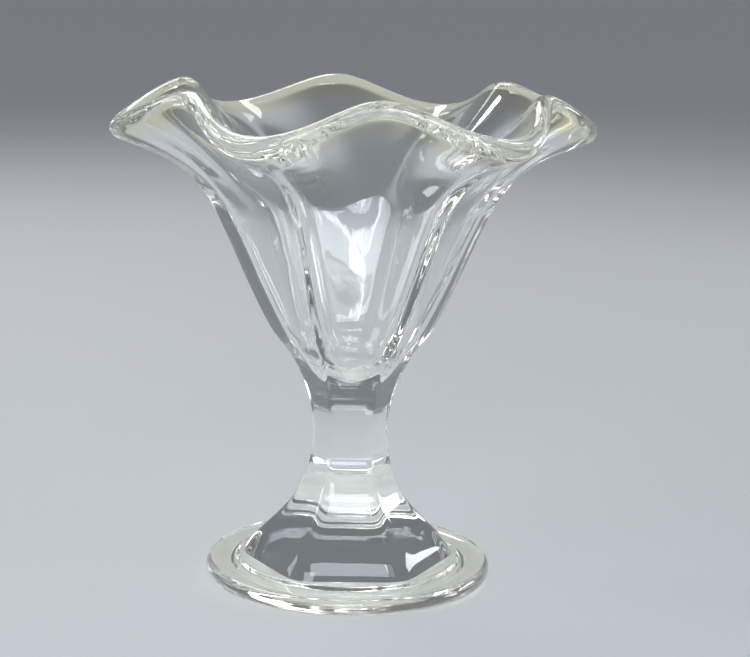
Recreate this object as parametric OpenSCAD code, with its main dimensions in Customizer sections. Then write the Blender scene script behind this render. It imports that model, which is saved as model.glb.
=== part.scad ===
// Pressed glass for ice cream: a bowl with six drooping petals, a solid waisted stem and a broad foot.
// Millimetres, Z up. The origin is the middle of the foot on the table, and +X runs out through
// the tip of a petal. The bowl, the stem with its spreading base, and the round foot meet at level planes.

/* [Overall] */
// Height from the table to the top of the rim
glass_h = 140; // [134:1:150]
// Number of flat panels round the glass, with a petal over each edge between two panels
panels = 6; // [4:2:8]
// Half the width over which the edge between two panels is rounded
edge_round = 0.9; // [0.6:0.1:2]

/* [Rim] */
// Width across the tips of two opposite petals
rim_w = 136; // [128:1:144]
// Width across two opposite crests, the high stretches between petals
crest_w = 115; // [106:0.5:120]
// Fall of the rim from a crest to a petal's tip
petal_drop = 9; // [4:0.5:14]
// Thickness of the round lip
lip_t = 6.2; // [4:0.1:8]
// Lean of a petal at its tip, in degrees from upright
tip_lean = 68; // [55:1:76]
// Lean of the wall at a crest, in degrees from upright
crest_lean = 40; // [30:1:55]
// Turn of the petals and of the cavity from the edges of the stem, in degrees
petal_turn = 5.5; // [0:0.5:10]

/* [Bowl] */
// Rise from the waist of the stem to the plane where the bowl begins
bowl_rise = 8; // [6:0.5:12]
// Thickness of the solid glass from that plane up to the pointed bottom of the cavity
floor_t = 8.3; // [7:0.1:11]
// Thickness of the wall between its hip and its neck
wall_t = 5.6; // [4:0.1:7]
// Half the width over which the edges of the cavity are rounded
inner_round = 3; // [0.9:0.1:5]
// Rise from the waist to the hip, where the flare of the stem turns into the wall
hip_rise = 26; // [23:1:29]
// Width across the edges at the hip
hip_w = 41; // [38:1:44]
// Lean of the edges at the hip, in degrees from upright
hip_lean = 43; // [38:1:48]
// Rise from the hip to the neck, where the petals start to turn outwards
neck_rise = 38; // [30:1:44]
// Width across the edges at the neck
neck_w = 79; // [72:1:86]
// Lean of the edges at the neck, in degrees from upright
neck_lean = 30; // [20:1:36]
// Lean of the cavity's edges at its point, in degrees from upright
point_lean = 76; // [66:1:80]

/* [Stem] */
// Height of the waist, the thinnest place of the stem
waist_z = 42; // [36:1:46]
// Width across the edges at the waist
waist_w = 21.4; // [17:0.2:26]
// Width across the edges of the stem's base, where it stands on the foot
base_w = 60; // [52:0.5:61]
// Lean of the base's edges where they leave the foot, in degrees from upright
base_lean = 20; // [8:1:34]
// Half the width over which the base's edges are rounded at the foot, easing to the stem's own at the waist
base_round = 3.5; // [0.9:0.1:5]

/* [Foot] */
// Diameter of the round foot
foot_d = 82; // [78:1:92]
// Thickness of the foot at its edge
foot_t = 4.6; // [4.4:0.1:7]
// Radius of the foot's rounded edge
foot_round = 1.9; // [0.8:0.1:2.1]
// How far the round step on the foot reaches beyond the edges of the stem's base
step_margin = 2.5; // [2.2:0.1:4]
// Height of that step
step_h = 0.8; // [0.4:0.1:1.6]
// Width of the step's slope
step_run = 1; // [0.4:0.1:2]
// Width of the flat ring under the foot that the glass rests on
rest_w = 5.1; // [3:0.1:9]
// Depth of the recess inside that ring
recess_h = 1; // [0.4:0.1:2]
// Width of the slope round the recess
recess_run = 1.4; // [0.6:0.1:2.4]

/* [Hidden] */

glass_colour = [0.86, 0.90, 0.89, 0.55];

// Cubic handles as shares of the height between the two ends of each curve
base_shares = [0.31, 0.66];
flare_shares = [0.37, 0.31];
wall_shares = [0.2, 0.2];
petal_shares = [0.8, 0.62];
crest_shares = [0.33, 0.33];
point_shares = [0.8, 0.45];

// Points round the glass for one panel, and rings along each curve
points_per_panel = 12;
base_rings = 12;
stem_rings = 4;
flare_rings = 7;
wall_rings = 8;
petal_rings = 9;
lip_rings = 7;
point_rings = 7;
search_steps = 24;
// Degrees from one point to the next round the edge of the foot
round_step = 15;

// How strongly the points crowd towards the edges, and the least and relative sharpness of an edge
crowding = 0.7;
least_sharpness = 7;
sharpness = 2;

panel_angle = 360 / panels;
half_panel = panel_angle / 2;
corner = 1 / cos(half_panel);
points_round = panels * points_per_panel;

lip_r = lip_t / 2;
step_z = foot_t + step_h;
bowl_z = waist_z + bowl_rise;
cavity_z = bowl_z + floor_t;
hip_z = waist_z + hip_rise;
neck_z = hip_z + neck_rise;

// Plane geometry in [distance from the axis, height]
function sum(v, i = 0) = i < len(v) ? v[i] + sum(v, i + 1) : 0;
function ease(x) = let (c = min(1, max(0, x))) c * c * (3 - 2 * c);
function along(a) = [sin(a), cos(a)];
function outward(d) = [d[1], -d[0]];
function unit(v) = v / norm(v);

// A cubic from a to b that leaves and arrives at the given leans, with handles as shares of its height
function cubic(a, lean_a, b, lean_b, shares) =
    let (rise = b[1] - a[1])
    [a, a + shares[0] * rise * along(lean_a), b - shares[1] * rise * along(lean_b), b];
function on_cubic(c, t) =
    let (s = 1 - t)
    s * s * s * c[0] + 3 * s * s * t * c[1] + 3 * s * t * t * c[2] + t * t * t * c[3];
function heading(c, t) =
    let (s = 1 - t)
    unit(s * s * (c[1] - c[0]) + 2 * s * t * (c[2] - c[1]) + t * t * (c[3] - c[2]));
function share_at(c, z, low = 0, high = 1, n = search_steps) =
    let (mid = (low + high) / 2)
    n == 0 ? mid
    : on_cubic(c, mid)[1] < z ? share_at(c, z, mid, high, n - 1) : share_at(c, z, low, mid, n - 1);

// Reach of a panelled section at angle a from the middle of a panel, where the flats lie at 1
function edge_sharpness(r, rounding = edge_round) = max(least_sharpness, sharpness * r / rounding);
function reach(a, s) =
    pow(sum([for (k = [-1:1]) pow(max(0, cos(a - k * panel_angle)), s)]), -1 / s);
function flat_ratio(r, rounding = edge_round) =
    let (s = edge_sharpness(r, rounding)) reach(0, s) / reach(half_panel, s);
function panel_share(a, s) = (reach(a, s) - reach(0, s)) / (reach(half_panel, s) - reach(0, s));
function wave_share(a) = (1 - cos(180 * a / half_panel)) / 2;

// The curves of the outside along an edge between two panels, from the foot to a petal's tip
waist = [waist_w / 2, waist_z];
hip = [hip_w / 2, hip_z];
neck = [neck_w / 2, neck_z];
tip_centre = [rim_w / 2 - lip_r, glass_h - petal_drop - lip_r];
crest_centre = [crest_w / 2 - lip_r, glass_h - lip_r];
base_curve = cubic([base_w / 2, step_z], -base_lean, waist, 0, base_shares);
flare_curve = cubic(waist, 0, hip, hip_lean, flare_shares);
wall_curve = cubic(hip, hip_lean, neck, neck_lean, wall_shares);
petal_curve = cubic(neck, neck_lean, tip_centre + lip_r * outward(along(tip_lean)), tip_lean, petal_shares);
// The curve up the middle of a panel, from the neck to a crest
flat_neck = [flat_ratio(neck[0]) * neck[0], neck_z];
flat_neck_lean = atan(flat_ratio(neck[0]) * tan(neck_lean));
crest_curve = cubic(flat_neck, flat_neck_lean,
    crest_centre + lip_r * outward(along(crest_lean)), crest_lean, crest_shares);

// A station is one ring: its point at an edge, its point at mid panel, how wavy it is, its turn, and how
// widely its edges are rounded
function turn_at(z) = -petal_turn * (1 - ease((z - waist_z) / (neck_z - waist_z)));
function level_station(p, rounding = edge_round) =
    [p, [flat_ratio(p[0], rounding) * p[0], p[1]], 0, turn_at(p[1]), rounding];
function base_station(t) =
    level_station(on_cubic(base_curve, t), base_round + (edge_round - base_round) * t);
function petal_station(t) =
    let (p = on_cubic(petal_curve, t)) [p, on_cubic(crest_curve, t), ease(t), turn_at(p[1]), edge_round];

// The inside is the outside moved in by the wall. Its corners move in further, as they are rounded wider
function moved_in(c, t, thick) = on_cubic(c, t) - thick * outward(heading(c, t));
function flat_cubic(c) = [for (p = c) [flat_ratio(p[0]) * p[0], p[1]]];
function softened(p, waviness) =
    let (drawn_in = flat_ratio(p[0]) / flat_ratio(p[0], inner_round))
    [p[0] * (1 + (1 - waviness) * (drawn_in - 1)), p[1]];
function inner_wall_station(t) =
    [softened(moved_in(wall_curve, t, wall_t * corner), 0), moved_in(flat_cubic(wall_curve), t, wall_t),
        0, 0, inner_round];
function inner_petal_station(t) =
    let (thick = wall_t + (lip_t - wall_t) * ease(t), grow = corner + (1 - corner) * ease(t))
    [softened(moved_in(petal_curve, t, thick * grow), ease(t)), moved_in(crest_curve, t, thick),
        ease(t), 0, inner_round];
function lip_point(centre, lean, turn) =
    centre + lip_r * (cos(turn) * along(lean) - sin(turn) * outward(along(lean)));
function lip_station(turn) =
    [lip_point(tip_centre, tip_lean, turn), lip_point(crest_centre, crest_lean, turn), 1, 0, edge_round];

// The pointed bottom of the cavity, from the inside of the hip down to its point
inner_hip = inner_wall_station(0);
point = [0, cavity_z];
flat_lean = atan(flat_ratio(hip[0]) * tan(hip_lean));
point_curve = cubic(point, point_lean, inner_hip[0], hip_lean, point_shares);
flat_point_curve = cubic(point, atan(tan(point_lean) / corner), inner_hip[1], flat_lean, point_shares);
function point_station(t) =
    let (rounding = edge_round + (inner_round - edge_round) * t)
    [on_cubic(point_curve, t), on_cubic(flat_point_curve, t), 0, 0, rounding];

// One ring of points, which crowd to the edges where the panels are flat
function ring_point(station, j) =
    let (
        place = j / points_per_panel,
        share = place - crowding * (1 - station[2]) * sin(360 * place) / (2 * PI),
        a = half_panel - panel_angle * abs(share - round(share)),
        flat_part = panel_share(a, edge_sharpness(station[0][0], station[4])),
        wave_part = wave_share(a),
        r_part = flat_part + (wave_part - flat_part) * station[2],
        r = station[1][0] + (station[0][0] - station[1][0]) * r_part,
        z = station[1][1] + (station[0][1] - station[1][1]) * wave_part,
        turn = panel_angle * share + station[3]
    )
    [r * cos(turn), r * sin(turn), z];

// A closed form through a list of stations, with flat ends, or with a point at its last end
module lofted(stations, apex = undef) {
    m = points_round;
    n = len(stations);
    rings = [for (s = stations) for (j = [0:m - 1]) ring_point(s, j)];
    sides = [
        for (i = [0:n - 2]) for (j = [0:m - 1])
            let (a = i * m + j, b = i * m + (j + 1) % m, c = b + m, d = a + m)
            for (f = (j % points_per_panel) < points_per_panel / 2 ? [[a, c, b], [a, d, c]]
                : [[a, d, b], [b, d, c]]) f
    ];
    start = [for (j = [0:m - 1]) j];
    last = (n - 1) * m;
    finish = is_undef(apex) ? [[for (j = [m - 1:-1:0]) last + j]]
        : [for (j = [0:m - 1]) [last + j, n * m, last + (j + 1) % m]];
    polyhedron(is_undef(apex) ? rings : concat(rings, [apex]), concat([start], sides, finish));
}

// Outside of the bowl up to the lip, round the lip and down the inside to its point
module bowl() {
    start = share_at(flare_curve, bowl_z);
    color(glass_colour)
        lofted(concat(
            [for (i = [0:flare_rings - 1])
                level_station(on_cubic(flare_curve, start + (1 - start) * i / flare_rings))],
            [for (i = [0:wall_rings - 1]) level_station(on_cubic(wall_curve, i / wall_rings))],
            [for (i = [0:petal_rings]) petal_station(i / petal_rings)],
            [for (i = [1:lip_rings - 1]) lip_station(-90 + 180 * i / lip_rings)],
            [for (i = [petal_rings:-1:1]) inner_petal_station(i / petal_rings)],
            [for (i = [wall_rings:-1:1]) inner_wall_station(i / wall_rings)],
            [for (i = [point_rings:-1:1]) point_station(i / point_rings)]
        ), [0, 0, cavity_z]);
}

// Solid stem: its base spreads on the foot, and its waist is its thinnest place
module stem() {
    top = share_at(flare_curve, bowl_z);
    color(glass_colour)
        lofted(concat(
            [for (i = [0:base_rings - 1]) base_station(i / base_rings)],
            [for (i = [0:stem_rings]) level_station(on_cubic(flare_curve, top * i / stem_rings))]
        ));
}

// Round foot: a step carries the stem, and a recess leaves a flat ring to rest on
module foot() {
    round_r = foot_d / 2 - foot_round;
    recess_r = round_r - rest_w;
    step_r = base_w / 2 + step_margin;
    color(glass_colour)
        rotate_extrude($fn = 2 * points_round)
            polygon([
                [0, recess_h], [recess_r - recess_run, recess_h], [recess_r, 0],
                for (a = [-90:round_step:0]) [round_r, foot_round] + foot_round * [cos(a), sin(a)],
                for (a = [0:round_step:90]) [round_r, foot_t - foot_round] + foot_round * [cos(a), sin(a)],
                [step_r, foot_t], [step_r - step_run, step_z], [0, step_z]
            ]);
}

bowl();
stem();
foot();
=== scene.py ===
"""Ice cream glass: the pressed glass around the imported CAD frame, with its finish and a plain studio."""
from math import atan, cos, pi, radians, sin, tan

import bmesh
import bpy
from bpy.props import FloatProperty, FloatVectorProperty, IntProperty, PointerProperty
from mathutils import Matrix, Vector


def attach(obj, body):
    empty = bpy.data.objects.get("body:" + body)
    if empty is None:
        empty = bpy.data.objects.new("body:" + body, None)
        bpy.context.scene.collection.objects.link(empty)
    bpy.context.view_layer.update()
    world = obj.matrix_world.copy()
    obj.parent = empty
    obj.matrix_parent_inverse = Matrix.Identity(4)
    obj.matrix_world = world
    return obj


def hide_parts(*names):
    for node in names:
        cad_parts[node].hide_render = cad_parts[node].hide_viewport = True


bl_info = {
    "name": "Ice Cream Glass",
    "version": (1, 0, 0),
    "blender": (4, 5, 0),
    "location": "View3D > Sidebar > Ice Cream Glass",
    "description": "Builds a petal-rimmed glass for ice cream around its CAD frame",
    "category": "Object",
}

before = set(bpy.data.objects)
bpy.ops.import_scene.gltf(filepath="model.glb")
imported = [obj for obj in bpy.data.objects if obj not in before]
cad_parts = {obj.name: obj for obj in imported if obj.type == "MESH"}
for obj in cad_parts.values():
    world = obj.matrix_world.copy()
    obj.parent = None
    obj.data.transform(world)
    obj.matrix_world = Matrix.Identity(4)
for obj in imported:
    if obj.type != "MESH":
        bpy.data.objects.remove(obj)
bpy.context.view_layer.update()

RENDER_WIDTH = 750
MM = 0.001

# Cubic handles as shares of the height between the two ends of each curve
BASE_SHARES = (0.31, 0.66)
FLARE_SHARES = (0.37, 0.31)
WALL_SHARES = (0.2, 0.2)
PETAL_SHARES = (0.8, 0.62)
CREST_SHARES = (0.33, 0.33)
POINT_SHARES = (0.8, 0.45)

# How strongly the points crowd towards the edges, and the least and relative sharpness of an edge
CROWDING = 0.7
LEAST_SHARPNESS = 7
SHARPNESS = 2

# Halvings in the search for the place where a curve reaches a height
HALVINGS = 40

# Rings of points along each stretch of the glass
BASE_RINGS = 13
SHAFT_RINGS = 5
FLARE_RINGS = 7
WALL_RINGS = 9
PETAL_RINGS = 10
LIP_RINGS = 9
POINT_RINGS = 9
FOOT_EDGE_RINGS = 6

# Extra rings beside an edge keep it crisp. They lie this far from it, or at this share of their curve
HOLD = 0.2 * MM
FOOT_HOLD = 0.25 * MM
BASE_HOLD_SHARE = 0.008
POINT_HOLD_SHARE = 0.02
RECESS_RING_SHARE = 0.5

# An edge creased more than this is a fold. Faces that meet at less than this angle are shaded as one
FOLD = 0.5
SMOOTH_ANGLE = radians(50)

# Where the tint of thick glass begins and where it is full: in lip thicknesses from the middle of the lip,
# and in heights of the foot's step above the table. The foot has only a share of that tint
LIP_TINT = (2, 0.5)
FOOT_TINT = (2, 0.5)
FOOT_TINT_SHARE = 0.5

# The skin's noise scales, the share of the fine noise in the ripples, and its least and added roughness as
# shares of the roughness that is set
BROAD_RIPPLE = 70.0
FINE_RIPPLE = 420.0
FINE_SHARE = 0.05
ROUGHNESS_SHARES = (0.4, 1.2)

# What a glass wall lets through to the floor's shadow
SHADOW_TINT = (0.8, 0.81, 0.81)

# The floor, just under the glass so that the two don't share a plane, with the grain of its paper
FLOOR_GAP = 0.05 * MM
FLOOR_CORNERS = 128
PAPER_GRAIN = 600.0
PAPER_ROUGHNESS = 0.6
PAPER_BUMP = 0.2 * MM
SKY_COLOUR = (0.9, 0.95, 1.0)

# The lamps stand round the middle of the glass. Each has a name, its azimuth, elevation, width and height in
# degrees, a brightness and a colour
LAMP_DISTANCE = 1.1
GLASS_MIDDLE = Vector((0, 0, 0.085))
BLUISH = (0.84, 0.92, 1.0)
COOL = (0.9, 0.95, 1.0)
PALE = (0.95, 0.98, 1.0)
WARM = (1.0, 0.99, 0.96)
LAMPS = (
    ("front_softbox", -94.5, 38, 18, 24, 7, BLUISH),
    ("front_strip", -83.4, 38, 0.8, 24, 9, BLUISH),
    ("dim_softbox", -76.4, 38, 12, 24, 2.5, BLUISH),
    ("low_softbox", -108, 24, 16, 16, 6, COOL),
    ("right_softbox", 18, 14, 17, 13, 10, COOL),
    ("left_softbox", 163, 20, 14, 26, 4, PALE),
    ("back_softbox", 107, 45, 30, 22, 5, WARM),
)

# The camera: its place before the turn round the glass, and its focal length in pixels of the render
CAMERA_PLACE = (0.0064, -0.505, 0.1731)
CAMERA_TURN = radians(-7.56)
CAMERA_TILT = radians(90 - 11.36)
CAMERA_ROLL = radians(1.36)
FOCAL_PIXELS = 1815
SENSOR_WIDTH = 36

# Light turns round and round inside the thick lip, and with fewer bounces would end there in black
BOUNCES = 24


def length(name, description, default, low, high):
    """A size in metres."""
    return FloatProperty(name=name, description=description, default=default, min=low, max=high,
                         unit="LENGTH", subtype="DISTANCE", precision=4)


def lean(name, description, default, low, high):
    """An angle, given in degrees and kept in radians."""
    return FloatProperty(name=name, description=description, default=radians(default),
                         min=radians(low), max=radians(high), unit="ROTATION", subtype="ANGLE")


def colour(name, description, default):
    """A plain colour."""
    return FloatVectorProperty(name=name, description=description, default=default, size=3,
                               min=0, max=1, subtype="COLOR")


class OverallSettings(bpy.types.PropertyGroup):
    """Sizes that the whole glass shares"""

    height: length("Height", "Table to the top of the rim", 0.14, 0.134, 0.15)
    panels: IntProperty(name="Panels", description="Flat panels round the glass", default=6, min=4, max=8)
    edge_round: length("Edge rounding", "Half the width of a rounded edge", 0.0009, 0.0006, 0.002)
    petal_turn: lean("Petal turn", "Turn of the petals from the stem's edges", 5.5, 0, 10)
    points_per_panel: IntProperty(name="Points per panel", description="Points of the cage round one panel",
                                  default=12, min=8, max=16)
    levels: IntProperty(name="Levels", description="Levels of subdivision", default=2, min=1, max=3)


class RimSettings(bpy.types.PropertyGroup):
    """Sizes of the petalled rim"""

    width: length("Width", "Across the tips of two opposite petals", 0.136, 0.128, 0.144)
    crest_width: length("Crest width", "Across two opposite crests", 0.115, 0.106, 0.12)
    petal_drop: length("Petal drop", "Fall from a crest to a petal's tip", 0.009, 0.004, 0.014)
    lip_thickness: length("Lip thickness", "Thickness of the round lip", 0.0062, 0.004, 0.008)
    tip_lean: lean("Tip lean", "Lean of a petal at its tip, from upright", 68, 55, 76)
    crest_lean: lean("Crest lean", "Lean of the wall at a crest, from upright", 40, 30, 55)


class BowlSettings(bpy.types.PropertyGroup):
    """Sizes of the bowl below its rim"""

    rise: length("Rise", "From the waist to the plane where the bowl begins", 0.008, 0.006, 0.012)
    floor_thickness: length("Floor thickness", "Glass under the cavity's point", 0.0083, 0.007, 0.011)
    wall_thickness: length("Wall thickness", "Wall between hip and neck", 0.0056, 0.004, 0.007)
    inner_round: length("Inner rounding", "Half the width of a rounded edge inside", 0.003, 0.0009, 0.005)
    hip_rise: length("Hip rise", "From the waist to the hip", 0.026, 0.023, 0.029)
    hip_width: length("Hip width", "Across the edges at the hip", 0.041, 0.038, 0.044)
    hip_lean: lean("Hip lean", "Lean of the edges at the hip", 43, 38, 48)
    neck_rise: length("Neck rise", "From the hip to the neck", 0.038, 0.03, 0.044)
    neck_width: length("Neck width", "Across the edges at the neck", 0.079, 0.072, 0.086)
    neck_lean: lean("Neck lean", "Lean of the edges at the neck", 30, 20, 36)
    point_lean: lean("Point lean", "Lean of the cavity's edges at its point", 76, 66, 80)


class StemSettings(bpy.types.PropertyGroup):
    """Sizes of the solid stem"""

    waist_height: length("Waist height", "Table to the thinnest place", 0.042, 0.036, 0.046)
    waist_width: length("Waist width", "Across the edges at the waist", 0.0214, 0.017, 0.026)
    base_width: length("Base width", "Across the edges where it stands on the foot", 0.06, 0.052, 0.061)
    base_lean: lean("Base lean", "Lean of the base's edges at the foot", 20, 8, 34)
    base_round: length("Base rounding", "Half the width of a rounded edge at the foot", 0.0035, 0.0009, 0.005)


class FootSettings(bpy.types.PropertyGroup):
    """Sizes of the round foot"""

    diameter: length("Diameter", "Across the round foot", 0.082, 0.078, 0.092)
    thickness: length("Thickness", "Thickness at the edge", 0.0046, 0.0044, 0.007)
    edge_radius: length("Edge radius", "Rounding of the edge", 0.0019, 0.0008, 0.0021)
    step_margin: length("Step margin", "Step beyond the stem's base", 0.0025, 0.0022, 0.004)
    step_height: length("Step height", "Height of the step", 0.0008, 0.0004, 0.0016)
    step_run: length("Step run", "Width of the step's slope", 0.001, 0.0004, 0.002)
    rest_width: length("Rest width", "Flat ring that the glass rests on", 0.0051, 0.003, 0.009)
    recess_depth: length("Recess depth", "Depth of the recess inside that ring", 0.001, 0.0004, 0.002)
    recess_run: length("Recess run", "Width of the slope round the recess", 0.0014, 0.0006, 0.0024)


class GlassSettings(bpy.types.PropertyGroup):
    """Finish of the glass"""

    clear: colour("Clear", "What thin glass lets through", (0.975, 0.985, 0.98))
    thick: colour("Thick", "What the thick lip and the edge of the foot let through", (0.955, 0.935, 0.74))
    index: FloatProperty(name="Index", description="Index of refraction", default=1.5, min=1.4, max=1.7)
    roughness: FloatProperty(name="Roughness", description="Roughness of the polished skin", default=0.012,
                             min=0, max=0.2)
    ripple: length("Ripple", "Depth of the skin's faint ripples", 0.00009, 0, 0.0005)


class StageSettings(bpy.types.PropertyGroup):
    """Floor, lamps and camera"""

    floor_radius: length("Floor radius", "Radius of the round floor", 25, 1, 60)
    floor_colour: colour("Floor colour", "Colour of the floor", (0.62, 0.63, 0.65))
    world_strength: FloatProperty(name="World", description="Strength of the even light", default=0.3,
                                  min=0, max=2)
    lamp_strength: FloatProperty(name="Lamps", description="Share of the lamps' power", default=1,
                                 min=0, max=4)


# Plane geometry on vectors of (distance from the axis, height)

def ease(x):
    """Smooth step from 0 to 1."""
    x = min(1, max(0, x))
    return x * x * (3 - 2 * x)


def along(angle):
    """Direction that leans by this angle from upright."""
    return Vector((sin(angle), cos(angle)))


def outward(d):
    """Normal of a rising curve, away from the axis."""
    return Vector((d.y, -d.x))


class Cubic:
    """A cubic curve through its first and last point."""

    def __init__(self, *points):
        self.points = points

    @classmethod
    def leaning(cls, a, lean_a, b, lean_b, handle_shares):
        """A curve that leaves and arrives at these leans, with handles as shares of its height."""
        rise = b.y - a.y
        first, last = handle_shares
        return cls(a, a + along(lean_a) * rise * first, b - along(lean_b) * rise * last, b)

    def at(self, t):
        """The point at a share t of the curve."""
        a, b, c, d = self.points
        s = 1 - t
        return a * s ** 3 + b * 3 * s * s * t + c * 3 * s * t * t + d * t ** 3

    def heading(self, t):
        """The direction of the curve there."""
        a, b, c, d = self.points
        s = 1 - t
        return ((b - a) * s * s + (c - b) * 2 * s * t + (d - c) * t * t).normalized()

    def share_at(self, height):
        """Share of the curve at which it reaches this height."""
        low, high = 0.0, 1.0
        for _ in range(HALVINGS):
            middle = (low + high) / 2
            low, high = (middle, high) if self.at(middle).y < height else (low, middle)
        return low

    def moved_in(self, t, thickness):
        """The point that lies this far inside the curve."""
        return self.at(t) - outward(self.heading(t)) * thickness


class Panels:
    """The section of the glass: flat panels that meet in rounded edges."""

    def __init__(self, overall):
        self.angle = 2 * pi / overall.panels
        self.half = self.angle / 2
        self.corner = 1 / cos(self.half)
        self.per_panel = overall.points_per_panel
        self.count = overall.panels * self.per_panel
        self.edge_round = overall.edge_round

    def sharpness(self, r, rounding):
        """Power that gives the edges of a section this rounding."""
        return max(LEAST_SHARPNESS, SHARPNESS * r / rounding)

    def reach(self, a, s):
        """How far the section reaches at an angle from the middle of a panel."""
        return sum(max(0, cos(a - k * self.angle)) ** s for k in (-1, 0, 1)) ** (-1 / s)

    def flat_ratio(self, r, rounding=None):
        """Distance of a panel's middle from the axis, as a share of that of its edge."""
        s = self.sharpness(r, rounding or self.edge_round)
        return self.reach(0, s) / self.reach(self.half, s)

    def flat(self, p, rounding=None):
        """The point at the middle of a panel, level with this point of an edge."""
        return Vector((self.flat_ratio(p.x, rounding) * p.x, p.y))

    def panel_share(self, a, r, rounding):
        """How far the section has gone from a panel's middle, 0, to its edge, 1, at this angle."""
        s = self.sharpness(r, rounding)
        near, far = self.reach(0, s), self.reach(self.half, s)
        return (self.reach(a, s) - near) / (far - near)

    def point(self, station, j):
        """Point j of a ring. The points crowd to the edges where the panels are flat."""
        edge, flat, waviness, turn, rounding = station
        place = j / self.per_panel
        share = place - CROWDING * (1 - waviness) * sin(2 * pi * place) / (2 * pi)
        a = self.half - self.angle * abs(share - round(share))
        wave = (1 - cos(pi * a / self.half)) / 2
        flat_part = self.panel_share(a, edge.x, rounding)
        r = flat.x + (edge.x - flat.x) * (flat_part + (wave - flat_part) * waviness)
        z = flat.y + (edge.y - flat.y) * wave
        angle = self.angle * share + turn
        return Vector((r * cos(angle), r * sin(angle), z))


class Outline:
    """Every curve of the glass, worked out from the sizes in the sidebar.

    A station is one level of the glass: its points at an edge and at a panel's middle, how far the section
    is a wave and no longer panels, its turn, and the rounding of its edges.
    """

    def __init__(self, scene):
        overall, rim, bowl = scene.glass_overall, scene.glass_rim, scene.glass_bowl
        stem, foot = scene.glass_stem, scene.glass_foot
        self.panels = panels = Panels(overall)
        self.turn = overall.petal_turn
        self.wall = bowl.wall_thickness
        self.outer_round, self.inner_round = overall.edge_round, bowl.inner_round
        self.base_round = stem.base_round
        self.lip = rim.lip_thickness
        self.step_height = foot.thickness + foot.step_height
        self.bowl_height = stem.waist_height + bowl.rise
        self.cavity_height = self.bowl_height + bowl.floor_thickness
        self.waist_height = stem.waist_height
        self.neck_height = stem.waist_height + bowl.hip_rise + bowl.neck_rise
        waist = Vector((stem.waist_width / 2, stem.waist_height))
        hip = Vector((bowl.hip_width / 2, stem.waist_height + bowl.hip_rise))
        neck = Vector((bowl.neck_width / 2, self.neck_height))
        r = self.lip / 2
        self.tip = Vector((rim.width / 2 - r, overall.height - rim.petal_drop - r))
        self.crest = Vector((rim.crest_width / 2 - r, overall.height - r))
        self.tip_lean, self.crest_lean = rim.tip_lean, rim.crest_lean
        base = Vector((stem.base_width / 2, self.step_height))
        self.base_curve = Cubic.leaning(base, -stem.base_lean, waist, 0, BASE_SHARES)
        self.flare_curve = Cubic.leaning(waist, 0, hip, bowl.hip_lean, FLARE_SHARES)
        self.wall_curve = Cubic.leaning(hip, bowl.hip_lean, neck, bowl.neck_lean, WALL_SHARES)
        self.petal_curve = Cubic.leaning(neck, bowl.neck_lean, self.tip + outward(along(rim.tip_lean)) * r,
                                         rim.tip_lean, PETAL_SHARES)
        ratio = panels.flat_ratio(neck.x)
        self.crest_curve = Cubic.leaning(panels.flat(neck), atan(ratio * tan(bowl.neck_lean)),
                                         self.crest + outward(along(rim.crest_lean)) * r,
                                         rim.crest_lean, CREST_SHARES)
        self.flat_wall_curve = Cubic(*(panels.flat(p) for p in self.wall_curve.points))
        inner_edge, inner_flat = self.inner_wall_station(0)[:2]
        point = Vector((0, self.cavity_height))
        self.point_curve = Cubic.leaning(point, bowl.point_lean, inner_edge, bowl.hip_lean, POINT_SHARES)
        flat_point_lean = atan(tan(bowl.point_lean) / panels.corner)
        flat_hip_lean = atan(panels.flat_ratio(hip.x) * tan(bowl.hip_lean))
        self.flat_point_curve = Cubic.leaning(point, flat_point_lean, inner_flat, flat_hip_lean, POINT_SHARES)

    def turn_at(self, height):
        """Turn of the outside, which the neck has lost."""
        rise = self.neck_height - self.waist_height
        return -self.turn * (1 - ease((height - self.waist_height) / rise))

    def level_station(self, p, rounding=None):
        rounding = rounding or self.outer_round
        return p, self.panels.flat(p, rounding), 0, self.turn_at(p.y), rounding

    def base_station(self, t):
        rounding = self.base_round + (self.outer_round - self.base_round) * t
        return self.level_station(self.base_curve.at(t), rounding)

    def petal_station(self, t):
        p = self.petal_curve.at(t)
        return p, self.crest_curve.at(t), ease(t), self.turn_at(p.y), self.outer_round

    def softened(self, p, waviness):
        """The point of an inner edge, drawn in by its wider rounding."""
        ratio = self.panels.flat_ratio(p.x) / self.panels.flat_ratio(p.x, self.inner_round)
        return Vector((p.x * (1 + (1 - waviness) * (ratio - 1)), p.y))

    def inner_wall_station(self, t):
        edge = self.wall_curve.moved_in(t, self.wall * self.panels.corner)
        return self.softened(edge, 0), self.flat_wall_curve.moved_in(t, self.wall), 0, 0, self.inner_round

    def inner_petal_station(self, t):
        thick = self.wall + (self.lip - self.wall) * ease(t)
        grow = self.panels.corner + (1 - self.panels.corner) * ease(t)
        edge = self.softened(self.petal_curve.moved_in(t, thick * grow), ease(t))
        return edge, self.crest_curve.moved_in(t, thick), ease(t), 0, self.inner_round

    def lip_station(self, turn):
        def around(centre, angle):
            d = along(angle)
            return centre + (d * cos(turn) - outward(d) * sin(turn)) * self.lip / 2
        return around(self.tip, self.tip_lean), around(self.crest, self.crest_lean), 1, 0, self.outer_round

    def point_station(self, t):
        rounding = self.outer_round + (self.inner_round - self.outer_round) * t
        return self.point_curve.at(t), self.flat_point_curve.at(t), 0, 0, rounding


def shares(count, first=0.0, last=1.0):
    """Even shares from first up to, and without, last."""
    return [first + (last - first) * i / count for i in range(count)]


# Modelling with Blender's own tools

def deselect():
    bpy.ops.object.select_all(action="DESELECT")


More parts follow.
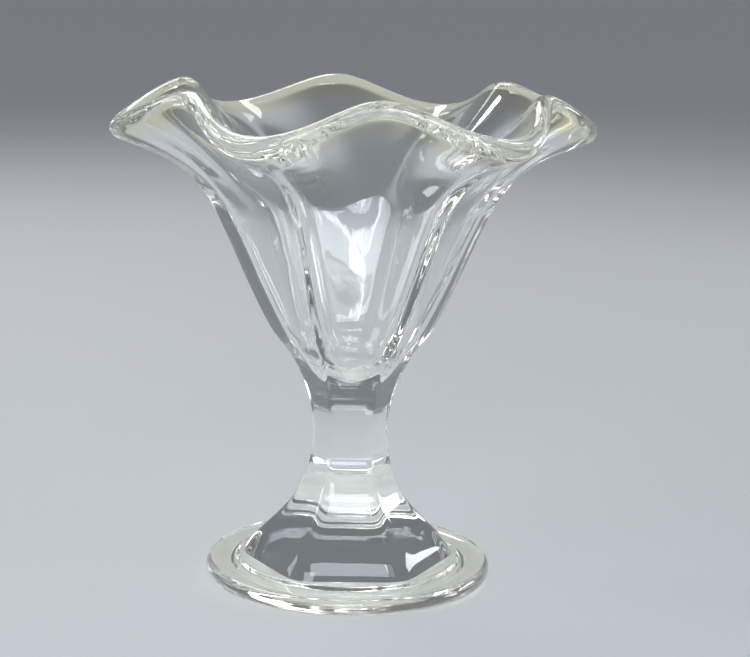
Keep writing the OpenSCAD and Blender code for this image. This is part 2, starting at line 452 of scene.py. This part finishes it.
def start_ring(name, panels, station):
    """A new ring of points, in edit mode with all of it selected."""
    deselect()
    bpy.ops.mesh.primitive_circle_add(vertices=panels.count, radius=station[0].x,
                                      location=(0, 0, station[0].y))
    piece = bpy.context.active_object
    piece.name = piece.data.name = name
    bpy.ops.object.transform_apply(location=True, rotation=True, scale=True)
    bpy.ops.object.mode_set(mode="EDIT")
    bpy.ops.mesh.select_all(action="SELECT")
    mesh = bmesh.from_edit_mesh(piece.data)
    place = mesh.verts.layers.int.new("place")
    for i, v in enumerate(mesh.verts):
        v[place] = i
    lay_ring(piece, panels, station)
    return piece


def lay_ring(piece, panels, station):
    """Moves the selected ring to its station."""
    mesh = bmesh.from_edit_mesh(piece.data)
    place = mesh.verts.layers.int["place"]
    for v in mesh.verts:
        if v.select:
            v.co = panels.point(station, v[place])
    bmesh.update_edit_mesh(piece.data)


def next_ring(piece, panels, station):
    """Extrudes the selected ring and moves it to the next station."""
    bpy.ops.mesh.extrude_edges_move()
    lay_ring(piece, panels, station)


def close_ring(piece, slot):
    """Fills the selected ring with one flat face of this material, and keeps its edge crisp."""
    bpy.ops.mesh.edge_face_add()
    piece.active_material_index = slot
    bpy.ops.object.material_slot_assign()
    bpy.ops.transform.edge_crease(value=1)


def close_start(piece, slot):
    """Fills the first ring of a finished loft."""
    bpy.ops.mesh.select_all(action="DESELECT")
    bpy.ops.mesh.select_mode(type="EDGE")
    mesh = bmesh.from_edit_mesh(piece.data)
    for e in mesh.edges:
        if e.is_boundary:
            e.select_set(True)
    bmesh.update_edit_mesh(piece.data)
    close_ring(piece, slot)
    bpy.ops.mesh.select_mode(type="VERT")


def smoothed(v, crease):
    """Where subdivision carries this point of the cage, or None where a face isn't four-sided."""
    folded = [e.other_vert(v).co for e in v.link_edges if e[crease] > FOLD]
    if len(folded) == 2:
        return (v.co * 4 + folded[0] + folded[1]) / 6
    if any(len(f.verts) != 4 for f in v.link_faces):
        return None
    n = len(v.link_edges)
    beside = sum((e.other_vert(v).co for e in v.link_edges), Vector())
    across = Vector()
    for f in v.link_faces:
        corners = list(f.verts)
        across += corners[(corners.index(v) + 2) % 4].co
    return (v.co * n * n + beside * 4 + across) / (n * (n + 5))


def settle(piece, rounds=3):
    """Swells the cage until the smoothed surface passes through the points that the cage had."""
    mesh = bmesh.from_edit_mesh(piece.data)
    crease = mesh.edges.layers.float.get("crease_edge")
    aims = [v.co.copy() for v in mesh.verts]
    for _ in range(rounds):
        reached = [smoothed(v, crease) for v in mesh.verts]
        for v, aim, now in zip(mesh.verts, aims, reached):
            if now is not None:
                v.co += aim - now
    bmesh.update_edit_mesh(piece.data)


def finish_piece(piece, node, levels):
    """Smooths a piece, applies that, and puts it in place of its node."""
    bpy.ops.mesh.select_all(action="SELECT")
    bpy.ops.mesh.normals_make_consistent(inside=False)
    bpy.ops.object.mode_set(mode="OBJECT")
    smooth = piece.modifiers.new("Smooth", "SUBSURF")
    smooth.levels = smooth.render_levels = levels
    bpy.ops.object.modifier_apply(modifier=smooth.name)
    bpy.ops.object.shade_smooth_by_angle(angle=SMOOTH_ANGLE)
    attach(piece, "root")
    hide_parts(node)


# Materials

class Value:
    """A number that a shader node gives, with the usual signs for arithmetic."""

    def __init__(self, shader, socket):
        self.shader, self.socket = shader, socket

    def _math(self, operation, a, b):
        return self.shader.node("ShaderNodeMath", {0: a, 1: b}, operation=operation)

    def __add__(self, other):
        return self._math("ADD", self, other)

    def __radd__(self, other):
        return self._math("ADD", other, self)

    def __mul__(self, other):
        return self._math("MULTIPLY", self, other)

    def __rmul__(self, other):
        return self._math("MULTIPLY", other, self)


class Shader:
    """A material's or world's node tree, emptied, and one method that adds any node."""

    def __init__(self, owner):
        owner.use_nodes = True
        self.tree = owner.node_tree
        self.tree.nodes.clear()

    def node(self, kind, inputs=None, output=0, **settings):
        """Adds a node, sets it up, fills its sockets, and gives one of its outputs."""
        made = self.tree.nodes.new(kind)
        for name, value in settings.items():
            setattr(made, name, value)
        for name, value in (inputs or {}).items():
            if isinstance(value, Value):
                self.tree.links.new(value.socket, made.inputs[name])
            else:
                made.inputs[name].default_value = value
        return Value(self, made.outputs[output]) if made.outputs else None

    def blend(self, share, a, b):
        """From colour a to colour b by this share."""
        return self.node("ShaderNodeMix", {0: share, 6: solid(a), 7: solid(b)}, output=2, data_type="RGBA")


def solid(c):
    """A colour with full alpha."""
    return (*c, 1)


def glass_material(settings, outline):
    """Clear pressed glass: cream where it is thick, faintly rippled, and with a light shadow."""
    material = bpy.data.materials.new("pressed_glass")
    s = Shader(material)
    place = s.node("ShaderNodeTexCoord", output="Object")
    height = s.node("ShaderNodeSeparateXYZ", {0: place}, output="Z")
    level = s.node("ShaderNodeVectorMath", {0: place, 1: (1, 1, 0)}, operation="MULTIPLY")
    reach = s.node("ShaderNodeVectorMath", {0: level}, output="Value", operation="LENGTH")
    # The middle of the lip falls from the crests to the wider tips, so this sum is the same all along it
    fall = (outline.tip.x - outline.crest.x) / (outline.crest.y - outline.tip.y)
    middle = outline.tip.x + fall * outline.tip.y
    lip = s.node("ShaderNodeMapRange", {
        "Value": reach + height * fall, "From Min": middle - outline.lip * LIP_TINT[0],
        "From Max": middle - outline.lip * LIP_TINT[1], "To Min": 0.0, "To Max": 1.0},
        interpolation_type="SMOOTHSTEP")
    foot = s.node("ShaderNodeMapRange", {
        "Value": height, "From Min": outline.step_height * FOOT_TINT[0],
        "From Max": outline.step_height * FOOT_TINT[1], "To Min": 0.0, "To Max": FOOT_TINT_SHARE},
        interpolation_type="SMOOTHSTEP")
    tint = s.blend(lip + foot, settings.clear, settings.thick)
    broad = s.node("ShaderNodeTexNoise", {
        "Vector": place, "Scale": BROAD_RIPPLE, "Detail": 1.0, "Roughness": 0.4})
    fine = s.node("ShaderNodeTexNoise", {
        "Vector": place, "Scale": FINE_RIPPLE, "Detail": 2.0, "Roughness": 0.5})
    bump = s.node("ShaderNodeBump", {
        "Height": broad + fine * FINE_SHARE, "Strength": 1.0, "Distance": settings.ripple})
    least, added = (settings.roughness * share for share in ROUGHNESS_SHARES)
    glass = s.node("ShaderNodeBsdfPrincipled", {
        "Base Color": tint, "Roughness": fine * added + least, "IOR": settings.index,
        "Transmission Weight": 1.0, "Normal": bump})
    shadow_ray = s.node("ShaderNodeLightPath", output="Is Shadow Ray")
    shadow = s.node("ShaderNodeBsdfTransparent", {"Color": solid(SHADOW_TINT)})
    look = s.node("ShaderNodeMixShader", {0: shadow_ray, 1: glass, 2: shadow})
    s.node("ShaderNodeOutputMaterial", {"Surface": look})
    return material


def joint_material():
    """The planes where two pieces of one moulding meet, which nobody sees."""
    material = bpy.data.materials.new("joint_plane")
    s = Shader(material)
    clear = s.node("ShaderNodeBsdfTransparent", {"Color": solid((1, 1, 1))})
    s.node("ShaderNodeOutputMaterial", {"Surface": clear})
    return material


# The two material slots of every piece
GLASS, JOINT = 0, 1


def give_materials(piece, scene):
    """Gives a new piece the two shared materials."""
    glass = bpy.data.materials.get("pressed_glass") or glass_material(scene.glass_finish, Outline(scene))
    joint = bpy.data.materials.get("joint_plane") or joint_material()
    piece.data.materials.append(glass)
    piece.data.materials.append(joint)


class GLASS_OT_bowl(bpy.types.Operator):
    """Build the bowl with its panels, petals, lip and pointed cavity"""

    bl_idname = "glass.bowl"
    bl_label = "Bowl"

    def execute(self, context):
        outline = Outline(context.scene)
        panels = outline.panels
        flare, wall = outline.flare_curve, outline.wall_curve
        start = flare.share_at(outline.bowl_height)
        near = flare.share_at(outline.bowl_height + HOLD)
        flare_shares = [start, near] + shares(FLARE_RINGS, start)[1:]
        stations = [outline.level_station(flare.at(t)) for t in flare_shares]
        stations += [outline.level_station(wall.at(t)) for t in shares(WALL_RINGS)]
        stations += [outline.petal_station(t) for t in shares(PETAL_RINGS)]
        stations += [outline.lip_station(radians(-90 + 180 * t)) for t in shares(LIP_RINGS)]
        stations += [outline.inner_petal_station(1 - t) for t in shares(PETAL_RINGS)]
        stations += [outline.inner_wall_station(1 - t) for t in shares(WALL_RINGS)]
        stations += [outline.point_station(1 - t) for t in shares(POINT_RINGS)]
        piece = start_ring("bowl_glass", panels, stations[0])
        give_materials(piece, context.scene)
        for station in stations[1:]:
            next_ring(piece, panels, station)
        next_ring(piece, panels, outline.point_station(POINT_HOLD_SHARE))
        next_ring(piece, panels, outline.point_station(0))
        bpy.ops.mesh.merge(type="CENTER")
        close_start(piece, JOINT)
        settle(piece)
        finish_piece(piece, "bowl", context.scene.glass_overall.levels)
        return {"FINISHED"}


class GLASS_OT_stem(bpy.types.Operator):
    """Build the solid stem from its spreading base to the bowl"""

    bl_idname = "glass.stem"
    bl_label = "Stem"

    def execute(self, context):
        outline = Outline(context.scene)
        panels = outline.panels
        flare = outline.flare_curve
        end = flare.share_at(outline.bowl_height)
        near = flare.share_at(outline.bowl_height - HOLD)
        stations = [outline.base_station(t) for t in [0, BASE_HOLD_SHARE] + shares(BASE_RINGS)[1:]]
        stations += [outline.level_station(flare.at(t)) for t in shares(SHAFT_RINGS, 0, end) + [near, end]]
        piece = start_ring("stem_glass", panels, stations[0])
        give_materials(piece, context.scene)
        for station in stations[1:]:
            next_ring(piece, panels, station)
        close_ring(piece, JOINT)
        close_start(piece, JOINT)
        settle(piece)
        finish_piece(piece, "stem", context.scene.glass_overall.levels)
        return {"FINISHED"}


class GLASS_OT_foot(bpy.types.Operator):
    """Build the round foot with its rounded edge, step and recess"""

    bl_idname = "glass.foot"
    bl_label = "Foot"

    def execute(self, context):
        scene = context.scene
        outline = Outline(scene)
        panels = outline.panels
        foot = scene.glass_foot
        round_r = foot.diameter / 2 - foot.edge_radius
        recess_r = round_r - foot.rest_width
        recess_in = recess_r - foot.recess_run
        step_r = scene.glass_stem.base_width / 2 + foot.step_margin
        step_in = step_r - foot.step_run
        top = foot.thickness

        def ring(r, z):
            p = Vector((r, z))
            return p, p, 1, 0, foot.edge_radius

        stations = [ring(r, foot.recess_depth)
                    for r in (recess_in * RECESS_RING_SHARE, recess_in - FOOT_HOLD, recess_in)]
        stations += [ring(recess_r, 0), ring(recess_r + FOOT_HOLD, 0)]
        for middle, first in ((foot.edge_radius, -90), (top - foot.edge_radius, 0)):
            for i in range(FOOT_EDGE_RINGS + 1):
                a = radians(first + 90 * i / FOOT_EDGE_RINGS)
                stations.append(ring(round_r + foot.edge_radius * cos(a), middle + foot.edge_radius * sin(a)))
        stations += [ring(step_r + FOOT_HOLD, top), ring(step_r, top),
                     ring(step_in, outline.step_height), ring(step_in - FOOT_HOLD, outline.step_height)]
        piece = start_ring("foot_glass", panels, stations[0])
        give_materials(piece, scene)
        for station in stations[1:]:
            next_ring(piece, panels, station)
        next_ring(piece, panels, outline.base_station(0))
        close_ring(piece, JOINT)
        close_start(piece, GLASS)
        finish_piece(piece, "foot", scene.glass_overall.levels)
        return {"FINISHED"}


# Floor, lamps, world and camera

def paper_material(floor_colour):
    """Pale matt paper with a faint grain."""
    material = bpy.data.materials.new("floor_paper")
    s = Shader(material)
    place = s.node("ShaderNodeTexCoord", output="Object")
    grain = s.node("ShaderNodeTexNoise", {"Vector": place, "Scale": PAPER_GRAIN, "Detail": 3.0})
    bump = s.node("ShaderNodeBump", {"Height": grain, "Strength": 0.2, "Distance": PAPER_BUMP})
    look = s.node("ShaderNodeBsdfPrincipled", {
        "Base Color": solid(floor_colour), "Roughness": PAPER_ROUGHNESS, "Normal": bump})
    s.node("ShaderNodeOutputMaterial", {"Surface": look})
    return material


def softbox(name, azimuth, elevation, width, height, brightness, tint):
    """A soft rectangular lamp that faces the glass, with its directions and spans in degrees."""
    data = bpy.data.lights.new(name, "AREA")
    data.shape = "RECTANGLE"
    data.size = 2 * LAMP_DISTANCE * tan(radians(width / 2))
    data.size_y = 2 * LAMP_DISTANCE * tan(radians(height / 2))
    data.energy = brightness * pi * data.size * data.size_y
    data.color = tint
    made = bpy.data.objects.new(name, data)
    bpy.context.scene.collection.objects.link(made)
    a, e = radians(azimuth), radians(elevation)
    way = Vector((cos(a) * cos(e), sin(a) * cos(e), sin(e)))
    made.location = GLASS_MIDDLE + way * LAMP_DISTANCE
    made.rotation_euler = way.to_track_quat("Z", "Y").to_euler()


def light_world(scene):
    """Even light from all round, which past the floor's edge is seen in the colour of the far floor."""
    stage = scene.glass_stage
    scene.world = scene.world or bpy.data.worlds.new("studio")
    s = Shader(scene.world)
    seen = s.node("ShaderNodeLightPath", output="Is Camera Ray")
    seen = seen + s.node("ShaderNodeLightPath", output="Is Transmission Ray")
    sky = s.blend(seen, SKY_COLOUR, [a * b for a, b in zip(SKY_COLOUR, stage.floor_colour)])
    light = s.node("ShaderNodeBackground", {"Color": sky, "Strength": stage.world_strength})
    s.node("ShaderNodeOutputWorld", {"Surface": light})


def set_camera(scene):
    """The camera, turned round the glass so that its petals lie as they should."""
    data = bpy.data.cameras.new("camera")
    data.sensor_fit = "HORIZONTAL"
    data.sensor_width = SENSOR_WIDTH
    data.lens = SENSOR_WIDTH * FOCAL_PIXELS / RENDER_WIDTH
    camera = bpy.data.objects.new("camera", data)
    scene.collection.objects.link(camera)
    camera.matrix_world = (
        Matrix.Rotation(CAMERA_TURN, 4, "Z") @ Matrix.Translation(CAMERA_PLACE)
        @ Matrix.Rotation(CAMERA_TILT, 4, "X") @ Matrix.Rotation(CAMERA_ROLL, 4, "Z"))
    scene.camera = camera


class GLASS_OT_stage(bpy.types.Operator):
    """Lay the floor, hang the lamps and set up the camera"""

    bl_idname = "glass.stage"
    bl_label = "Stage"

    def execute(self, context):
        scene = context.scene
        stage = scene.glass_stage
        deselect()
        bpy.ops.mesh.primitive_circle_add(vertices=FLOOR_CORNERS, radius=stage.floor_radius,
                                          fill_type="NGON", location=(0, 0, -FLOOR_GAP))
        floor = bpy.context.active_object
        floor.name = floor.data.name = "studio_floor"
        floor.data.materials.append(paper_material(stage.floor_colour))
        for name, azimuth, elevation, width, height, brightness, tint in LAMPS:
            softbox(name, azimuth, elevation, width, height, brightness * stage.lamp_strength, tint)
        light_world(scene)
        set_camera(scene)
        scene.view_settings.view_transform = "Standard"
        cycles = scene.cycles
        cycles.max_bounces = cycles.glossy_bounces = cycles.transmission_bounces = BOUNCES
        return {"FINISHED"}


class GLASS_PT_panel(bpy.types.Panel):
    """Every size and colour of the glass"""

    bl_idname = "GLASS_PT_panel"
    bl_label = "Ice Cream Glass"
    bl_space_type = "VIEW_3D"
    bl_region_type = "UI"
    bl_category = "Ice Cream Glass"

    def draw(self, context):
        for title, name, operator in PANEL_ROWS:
            box = self.layout.box()
            box.label(text=title)
            settings = getattr(context.scene, name)
            for key in settings.__annotations__:
                box.prop(settings, key)
            if operator:
                box.operator(operator)


PANEL_ROWS = (
    ("Overall", "glass_overall", None),
    ("Rim", "glass_rim", None),
    ("Bowl", "glass_bowl", "glass.bowl"),
    ("Stem", "glass_stem", "glass.stem"),
    ("Foot", "glass_foot", "glass.foot"),
    ("Finish", "glass_finish", None),
    ("Stage", "glass_stage", "glass.stage"),
)
SETTINGS = {
    "glass_overall": OverallSettings,
    "glass_rim": RimSettings,
    "glass_bowl": BowlSettings,
    "glass_stem": StemSettings,
    "glass_foot": FootSettings,
    "glass_finish": GlassSettings,
    "glass_stage": StageSettings,
}
OPERATORS = (GLASS_OT_bowl, GLASS_OT_stem, GLASS_OT_foot, GLASS_OT_stage)


def register():
    for cls in (*SETTINGS.values(), *OPERATORS, GLASS_PT_panel):
        bpy.utils.register_class(cls)
    for name, cls in SETTINGS.items():
        setattr(bpy.types.Scene, name, PointerProperty(type=cls))


def unregister():
    for name in SETTINGS:
        delattr(bpy.types.Scene, name)
    for cls in reversed((*SETTINGS.values(), *OPERATORS, GLASS_PT_panel)):
        bpy.utils.unregister_class(cls)


def main():
    register()
    bpy.ops.glass.stage()
    bpy.ops.glass.foot()
    bpy.ops.glass.stem()
    bpy.ops.glass.bowl()


if __name__ == "__main__":
    main()
